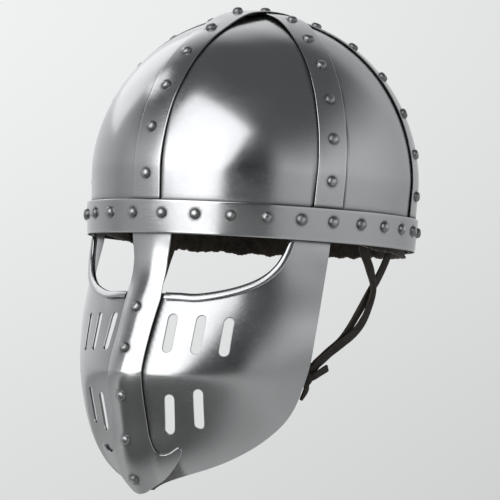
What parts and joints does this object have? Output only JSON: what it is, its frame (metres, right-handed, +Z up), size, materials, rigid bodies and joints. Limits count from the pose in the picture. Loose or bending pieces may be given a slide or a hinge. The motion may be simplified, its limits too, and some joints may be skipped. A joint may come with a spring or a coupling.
{
  "type": "spangenhelm helmet",
  "caption": "Riveted steel spangenhelm with crossing hoops, a brow band, a slotted face guard and a leather chin thong.",
  "frame": {"origin": "middle of the brow opening, level with the brow band's lower edge, where the helmet sits on a head", "axes": "+Z up to the crown, -Y the way the face looks, +X the wearer's left"},
  "size_m": [0.2124, 0.2478, 0.3183],
  "materials": {
    "crown_steel": "satin polished",
    "frame_steel": "satin brushed",
    "face_steel": "satin polished",
    "suede": "napped suede, ragged edge",
    "dark_leather": "worn dark leather"
  },
  "bodies": {
    "root": {"crown_plate_front_left": "crown_steel", "crown_plate_left": "crown_steel", "crown_plate_rear_left": "crown_steel", "crown_plate_rear_right": "crown_steel", "crown_plate_right": "crown_steel", "crown_plate_front_right": "crown_steel", "hoop_right_front": "frame_steel", "hoop_left_front": "frame_steel", "hoop_fore_aft": "frame_steel", "brow_band": "frame_steel", "centre_strip": "frame_steel", "face_plate_left": "face_steel", "face_plate_right": "face_steel", "suede_liner": "suede", "thong_left_front": "dark_leather", "thong_left_rear": "dark_leather", "knot_left": "dark_leather", "thong_right_front": "dark_leather", "thong_right_rear": "dark_leather", "knot_right": "dark_leather", "chin_thong": "dark_leather"}
  },
  "joints": []
}
